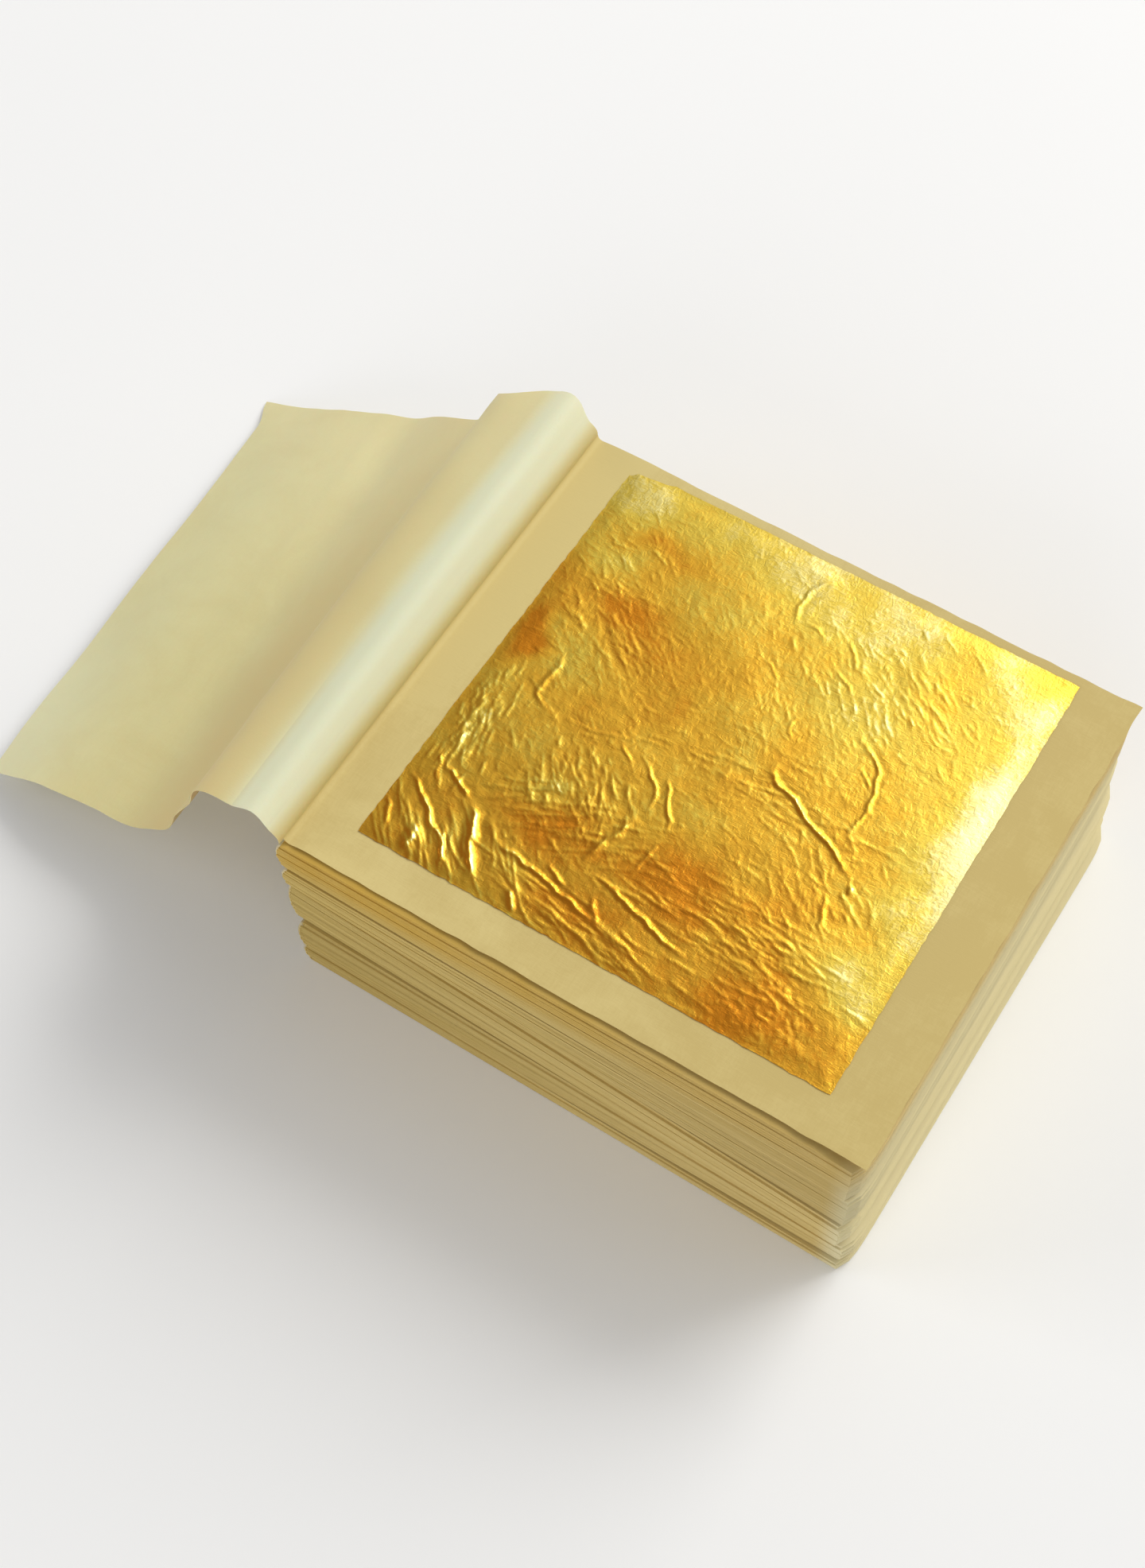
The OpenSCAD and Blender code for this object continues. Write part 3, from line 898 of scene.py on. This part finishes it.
# the long creases: height in mm, width in mm, points in mm from the leaf's near spine corner
creases = [
    (0.40, 0.34, [(47, 44.7), (47.3, 41.3), (49.3, 40), (52.7, 39), (56, 36.7), (60, 35.3), (63.3, 33.3),
                  (67.3, 30.7)]),
    (0.34, 0.42, [(67.3, 30.7), (66.7, 29)]),
    (0.26, 0.30, [(54, 53.7), (56.7, 53.3), (59.3, 51.7), (61.3, 49.7), (62, 46.7), (62.7, 42.7), (62.3, 40),
                  (61.7, 36.7)]),
    (0.15, 0.24, [(58, 49.3), (60.3, 47.3), (61.7, 46)]),
    (0.20, 0.32, [(40.3, 78.3), (37.3, 75.7), (36.3, 73.3), (36.3, 70), (37.3, 66)]),
    (0.15, 0.24, [(38, 68), (40.7, 68.1), (43, 66.3)]),
    (0.17, 0.24, [(45.3, 68.7), (47, 67.3), (48.7, 65), (49.3, 63.7)]),
    (0.15, 0.22, [(46, 62.7), (47.7, 62.1), (49.7, 61), (50.7, 59.7)]),
    (0.14, 0.22, [(36.5, 59), (38.3, 57.3), (39.7, 56.1)]),
    (0.15, 0.24, [(46, 52.7), (45.7, 50.7), (46, 49), (47.3, 47.7)]),
    (0.10, 0.24, [(14, 33), (20, 33.3), (24.7, 34.3), (26.7, 35.7), (29.3, 36.3), (33.3, 36.7)]),
    (0.11, 0.24, [(33.3, 36.7), (36.7, 38.7), (40, 40), (44, 40), (47, 41)]),
    (0.18, 0.24, [(25.3, 34), (26.7, 33), (28.7, 31.3)]),
    (0.24, 0.28, [(30, 33.3), (32, 31.3), (34, 29.7), (35, 27.3), (35, 25.3)]),
    (0.28, 0.28, [(34.3, 32.7), (35.3, 30.7), (37, 28.3), (38.7, 26), (39.3, 23.3)]),
    (0.36, 0.55, [(35, 24), (33.7, 22), (32.7, 19.3), (31.7, 16.7), (31, 12.7)]),
    (0.14, 0.30, [(39.3, 22.7), (38.7, 18.7), (38.3, 14.7)]),
    (0.38, 0.34, [(32.7, 12.7), (37.3, 11.7), (41.3, 10.3), (45.3, 9), (49.3, 8), (53.3, 7.3)]),
    (0.44, 0.36, [(16.3, 10.3), (20, 9), (24.7, 8.3), (28.7, 7.7), (32.7, 6.7), (36, 5.7), (40, 4.3)]),
    (0.26, 0.26, [(2.7, 18.3), (4, 16.7), (4.7, 14), (5.3, 12.7)]),
    (0.42, 0.34, [(4.7, 16.7), (8, 15), (11.3, 13.3)]),
    (0.75, 0.72, [(11.3, 13.3), (13.3, 11.3), (14.7, 8.3), (16.3, 5.3), (19, 1.3)]),
    (0.40, 0.34, [(0, 13.3), (2.7, 12), (6, 9.3), (8.7, 7), (12, 4.7), (14.5, 1)]),
    (0.30, 0.30, [(0, 8), (2, 5.3), (3.3, 2)]),
    (0.50, 0.70, [(6.7, 6), (7.7, 3.3), (7.3, 0.3)]),
    (0.36, 0.32, [(10, 8), (12.7, 3.3), (14, 0.3)]),
    (0.50, 0.62, [(24.7, 4), (25.7, 2.3), (27, 0.3)]),
    (0.28, 0.32, [(26.7, 10.3), (28.7, 9.7), (31.3, 8)]),
    (0.24, 0.40, [(35.5, 9.6), (36.5, 7), (38.5, 5)]),
    (0.24, 0.40, [(9.3, 44), (10, 40.7), (9.7, 37.3), (10, 34.7), (12, 33.3), (13.7, 32.3)]),
    (0.20, 0.30, [(64, 28.3), (64.7, 25.3), (65.7, 23.3), (66.3, 21.3)]),
    (0.12, 0.24, [(12, 14), (14.7, 16), (17.3, 18.3)]),
    (0.14, 0.26, [(18.7, 13), (22, 15), (26, 17), (30, 19)]),
]
# combed fields of fine creases: how many, centre, reach, direction in degrees, spread, lengths, heights
combed = [
    (120, (15, 50), (9, 8), -36, 14, (2.5, 8), (0.02, 0.05)),
    (130, (23, 25), (8, 7), -52, 16, (1.6, 4.5), (0.04, 0.09)),
    (70, (4, 27), (3.5, 9), -84, 14, (2, 5.5), (0.07, 0.14)),
    (110, (58, 64), (10, 9), -38, 16, (2, 6), (0.03, 0.09)),
    (130, (54, 15), (15, 6), -4, 9, (3, 11), (0.04, 0.10)),
    (50, (8, 7), (9, 7), -49, 7, (7, 18), (0.06, 0.14)),
    (50, (22, 16), (9, 5), 28, 7, (5, 12), (0.04, 0.09)),
    (90, (43, 37), (14, 6), 6, 18, (2.5, 8), (0.03, 0.08)),
    (110, (46, 58), (13, 13), -58, 25, (1.3, 4), (0.03, 0.08)),
    (170, (67, 6), (10, 6), 0, 90, (0.5, 1.6), (0.03, 0.07)),
    (70, (33, 4), (14, 4), -14, 12, (3, 10), (0.05, 0.14)),
    (80, (61, 29), (10, 9), -42, 20, (2, 6), (0.03, 0.09)),
    (120, (8, 58), (8, 14), -20, 30, (1.5, 5), (0.03, 0.08)),
    (90, (30, 62), (14, 10), -48, 20, (2, 6), (0.02, 0.05)),
    (900, (40, 40), (42, 42), 0, 90, (0.8, 3.2), (0.02, 0.05)),
    (1500, (40, 42), (44, 44), -45, 60, (0.7, 2.4), (0.025, 0.05)),
]
# broad painted reflections (above 0, paler) and painted shade (below 0, deeper) on the leaf: strength,
# centre, reach
paintedLightSpots = [
    (0.5, (40, 79), (60, 9)), (0.2, (4, 75), (6, 5)), (-0.7, (11, 69), (7, 2.5)), (0.2, (6, 63), (5, 3)),
    (-0.9, (14, 54), (12, 5.5)), (-1.1, (2, 44), (3.5, 5)), (0.5, (7.5, 45), (2.6, 8)),
    (0.3, (6, 28), (3.5, 7)),
    (-0.35, (28, 44), (16, 9)), (0.2, (54, 62), (10, 8)), (1.1, (80, 44), (8, 28)), (-0.35, (78, 79), (5, 3)),
    (-0.9, (45, 17), (10, 6)), (-0.7, (24, 15), (9, 4)), (-0.4, (5, 8), (8, 7)), (-0.8, (64, 5), (12, 7)),
    (0.4, (74, 16), (3, 6)), (-0.5, (36, 3), (12, 4)), (0.5, (12, 7), (2, 4)), (-0.5, (60, 22), (7, 7)),
    (0.2, (54, 60), (20, 11)),
]


def distanceTo(points, x, y):  # signed distance to a line of points, and the place along it
    best = np.full(x.shape, 1e9)
    sign = np.ones(x.shape)
    place = np.zeros(x.shape)
    lengths = [math.dist(a, b) for a, b in zip(points, points[1:])]
    done, whole = 0.0, sum(lengths)
    for (a, b), length in zip(zip(points, points[1:]), lengths):
        ux, uy = (b[0] - a[0]) / length, (b[1] - a[1]) / length
        t = np.clip((x - a[0]) * ux + (y - a[1]) * uy, 0, length)
        dx, dy = x - a[0] - t * ux, y - a[1] - t * uy
        d = np.hypot(dx, dy)
        closer = d < best
        best = np.where(closer, d, best)
        sign = np.where(closer, np.where(ux * dy - uy * dx > 0, 1.0, -1.0), sign)
        place = np.where(closer, (done + t) / whole, place)
        done += length
    return best * sign, place


def addCrease(height, x, y, points, tall, wide, lean, ring, wander):  # a sharp crest, steeper on one side
    low = [min(point[i] for point in points) - 8 * wide for i in (0, 1)]
    high = [max(point[i] for point in points) + 8 * wide for i in (0, 1)]
    step = leaf["side"] / leaf["cells"]
    i0, j0 = (max(0, int(low[i] / step)) for i in (1, 0))
    i1, j1 = (min(leaf["cells"] + 1, int(high[i] / step) + 2) for i in (1, 0))
    if i1 <= i0 or j1 <= j0:
        return
    part = (slice(i0, i1), slice(j0, j1))
    d, place = distanceTo(points, x[part], y[part])
    d = d + wander[part]
    flank = np.where(d > 0, wide * (1 - lean), wide * (1 + lean))
    fade = smooth(place / 0.3) * smooth((1 - place) / 0.3)
    crest = np.exp(-np.abs(d) / flank) - ring * np.exp(-((np.abs(d) - 2.6 * wide) / (1.3 * wide)) ** 2)
    height[part] += tall * fade * crest


def busyAt(x, y):  # how crumpled the leaf is, from calm to busy
    busy = leaf["calm"]
    for strength, centre, reach in leaf["busy"]:
        busy = busy + strength * blob(x, y, centre, reach)
    return busy


def toBorder(x, y):
    return np.minimum(np.minimum(x, leaf["side"] - x), np.minimum(y, leaf["side"] - y))


def leafHeight(x, y):
    height = np.zeros_like(x)
    wander = layered(x, y, leaf["wander"])
    for tall, wide, points in creases:
        addCrease(height, x, y, points, leaf["crest"] * tall, leaf["spread"] * wide, 0.3, 0.15, wander)
    crests = height.copy()
    dice = np.random.default_rng(leaf["seed"])
    for count, centre, reach, heading, spread, lengths, heights in combed:
        for _ in range(count):
            px, py = centre[0] + dice.normal() * reach[0] * 0.6, centre[1] + dice.normal() * reach[1] * 0.6
            angle = math.radians(heading + dice.uniform(-spread, spread))
            bend = dice.uniform(-0.6, 0.6)
            length = dice.uniform(*lengths)
            tall = leaf["fine"] * dice.uniform(*heights) * (0.5 + 0.7 * min(1, busyAt(px, py)))
            points = []
            for _ in range(4):
                points.append((px, py))
                px += math.cos(angle) * length / 3
                py += math.sin(angle) * length / 3
                angle += bend / 3
            wide = dice.uniform(0.13, 0.20)
            addCrease(height, x, y, points, tall, wide, dice.uniform(-0.4, 0.4), 0.0, 0.5 * wander)
    fines = height - crests
    busy = busyAt(x, y)
    height += layered(x, y, leaf["hills"])
    height += (0.3 + busy) * layered(x, y, leaf["crumple"])
    border = toBorder(x, y)
    base = leaf["edge"] + (leaf["ground"] - leaf["edge"]) * smooth(border / 3.5)
    height = base + height * (0.3 + 0.7 * smooth(border / 1.5))
    return np.clip(height, leaf["least"], leaf["most"]), crests, fines


leafToneAndLightLook = {
    "base": 0.42, "fartherPaintedGlare": 0.10, "clouds": [(0.10, 7, 61), (0.06, 2.5, 62)], "spots": 0.5,
    "crestPaintedHighlight": 0.5, "crestPaintedShade": 0.4, "finePaintedHighlight": 0.10, "fineSlopePaintedLight": 0.20, "fineBase": -0.04,
    "blur": (2.5, 6), "lightFrom": (-0.6, -0.8),
}


def towardsLight(height):  # slope of a height field, above 0 where it faces the light
    slopeY, slopeX = np.gradient(height, leaf["side"] / leaf["cells"])
    return leafToneAndLightLook["lightFrom"][0] * slopeX + leafToneAndLightLook["lightFrom"][1] * slopeY


def leafToneAndPaintedLight(x, y, crests, fines):  # 0 deep orange, 1 pale: random tone with painted glare, painted reflections, and painted highlight and shade on the creases
    look = leafToneAndLightLook
    # painted glare, paler towards the far side, over random clouds of tone
    tone = look["base"] + look["fartherPaintedGlare"] * smooth(y / 60) + layered(x, y, look["clouds"])
    shift, cell = look["blur"]
    blurX = x + shift * hills(x, y, cell, 63)
    blurY = y + shift * hills(x, y, cell, 64)
    # painted reflections and painted shade in broad soft spots
    for strength, centre, reach in paintedLightSpots:
        tone += look["spots"] * strength * blob(blurX, blurY, centre, reach)
    # painted highlight on crest flanks facing the light, painted shade on flanks facing away
    toLight = towardsLight(crests)
    tone += look["crestPaintedHighlight"] * smooth((crests - 0.05) / 0.12) * smooth((toLight + 0.1) / 0.3)
    tone -= look["crestPaintedShade"] * smooth(-toLight / 0.35)
    # the same painted light and shade on the fine creases, with a painted highlight on their tops
    tone += look["fineSlopePaintedLight"] * np.clip(towardsLight(fines) / 0.12, -1, 1)
    tone += look["finePaintedHighlight"] * smooth(fines / 0.08) + look["fineBase"]
    return np.clip(tone, 0, 1)


def makeLeaf():
    n = leaf["cells"] + 1
    u = np.linspace(0, leaf["side"], n)
    y, x = np.meshgrid(u, u, indexing="ij")
    ragged = smooth(1 - toBorder(x, y) / 0.8)
    z, crests, fines = leafHeight(x, y)
    outX = x + leaf["ragged"] * ragged * hills(x, y, 1.1, 51) * (np.minimum(x, leaf["side"] - x) < 0.8)
    outY = y + leaf["ragged"] * ragged * hills(y, x, 1.1, 52) * (np.minimum(y, leaf["side"] - y) < 0.8)
    base = topZ + leaf["level"]
    over = np.stack([leafX + outX, leafY + outY, base + z], axis=-1).reshape(-1, 3)
    ring = rimOf(n, n)
    lower = over[ring].copy()
    lower[:, 2] = base
    tone = leafToneAndPaintedLight(x, y, crests, fines).ravel()
    count = len(over)
    faces = gridQuads(n, n, 0, True).tolist()
    for i in range(len(ring)):
        j = (i + 1) % len(ring)
        faces.append([ring[i], ring[j], count + j, count + i][::-1])
    faces.append([count + i for i in range(len(ring))][::-1])
    tags = {"leafToneAndPaintedLight": np.concatenate([tone, tone[ring]])}
    points = np.concatenate([over, lower])
    piece = pieceOf("bareGoldLeaf", points, faces, finishes["goldBare"], tags, 60)
    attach(piece, "top_leaf")
    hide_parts("top_gold_leaf")
    print("bare leaf made,", len(piece.data.polygons), "faces")


makeLeaf()


# solids that keep their shape get a finish

for name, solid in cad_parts.items():
    if name.endswith("spine_glue"):
        solid.data.materials.clear()
        solid.data.materials.append(finishes["glue"])
    elif "leaf" in name or "leaves" in name:
        solid.data.materials.clear()
        solid.data.materials.append(finishes["goldInside"])
print("solids finished")


# floor, light and camera

floorLook = {"half": 3, "level": -0.0001, "darker": (0.95, 0.95, 0.95), "paler": (0.97, 0.97, 0.97)}


def makeFloor():
    half, level = floorLook["half"], floorLook["level"]
    corners = [(-half, -half, level), (half, -half, level), (half, half, level), (-half, half, level)]
    mesh = bpy.data.meshes.new("floor")
    mesh.from_pydata(corners, [], [(0, 1, 2, 3)])
    finish, tree, shader = newFinish("paleFloor", Roughness=0.9, Specular_IOR_Level=0.1)
    cloud = grainOf(tree, stretched(tree, (3, 3, 3)), 1.0)
    feed(tree, shader, Base_Color=tinted(tree, cloud, floorLook["darker"], floorLook["paler"]))
    mesh.materials.append(finish)
    floor = bpy.data.objects.new("floor", mesh)
    scene.collection.objects.link(floor)


studio = {
    "sky": 0.29,
    "patches": [   # direction, cosines at which it starts and is full, strength
        ((0.32, 0.82, 0.47), 0.54, 0.88, 0.66),
    ],
    "lights": [   # name, place, target, size, watts, colour
        ("keyCard", (0.40, 1.20, 0.95), (0, 0, 0.02), 1.0, 16.5, (1.0, 0.985, 0.95)),
        ("fillCard", (-1.5, -0.7, 0.6), (0, 0, 0.02), 0.9, 6.5, (1.0, 1.0, 1.0)),
        ("nearCard", (0.2, -1.5, 0.45), (0, 0, 0.02), 1.2, 7.0, (1.0, 1.0, 1.0)),
    ],
}


def makeSky():  # soft light cards painted into an even sky
    sky = bpy.data.worlds.new("studioSky")
    sky.use_nodes = True
    tree = sky.node_tree
    direction = put(tree, "ShaderNodeTexCoord").outputs["Generated"]
    strength = studio["sky"]
    for heading, start, full, extra in studio["patches"]:
        facing = put(tree, "ShaderNodeVectorMath", operation="DOT_PRODUCT")
        tree.links.new(direction, facing.inputs[0])
        facing.inputs[1].default_value = Vector(heading).normalized()
        strength = sums(tree, "ADD", strength, ranged(tree, facing.outputs["Value"], start, full, 0.0, extra))
    tree.nodes["Background"].inputs[0].default_value = (1.0, 1.0, 1.0, 1)
    tree.links.new(strength, tree.nodes["Background"].inputs[1])
    scene.world = sky
    scene.view_settings.view_transform = "Standard"


def makeLights():
    for name, place, target, size, watts, colour in studio["lights"]:
        data = bpy.data.lights.new(name, "AREA")
        data.size = size
        data.energy = watts
        data.color = colour
        lamp = bpy.data.objects.new(name, data)
        lamp.location = place
        lamp.rotation_euler = (Vector(target) - Vector(place)).to_track_quat("-Z", "Y").to_euler()
        scene.collection.objects.link(lamp)


photoView = {
    "sensor": 36, "lens": 56.75, "place": (0.07891, -0.17391, 0.35747), "turn": (30.377, -0.456, 31.802),
}


def makeCamera():
    data = bpy.data.cameras.new("photoView")
    data.sensor_width = photoView["sensor"]
    data.lens = photoView["lens"]
    data.clip_start = 0.01
    camera = bpy.data.objects.new("photoView", data)
    camera.location = photoView["place"]
    camera.rotation_euler = [math.radians(a) for a in photoView["turn"]]
    scene.collection.objects.link(camera)
    scene.camera = camera


makeFloor()
makeSky()
makeLights()
makeCamera()
print("floor, light and camera set")
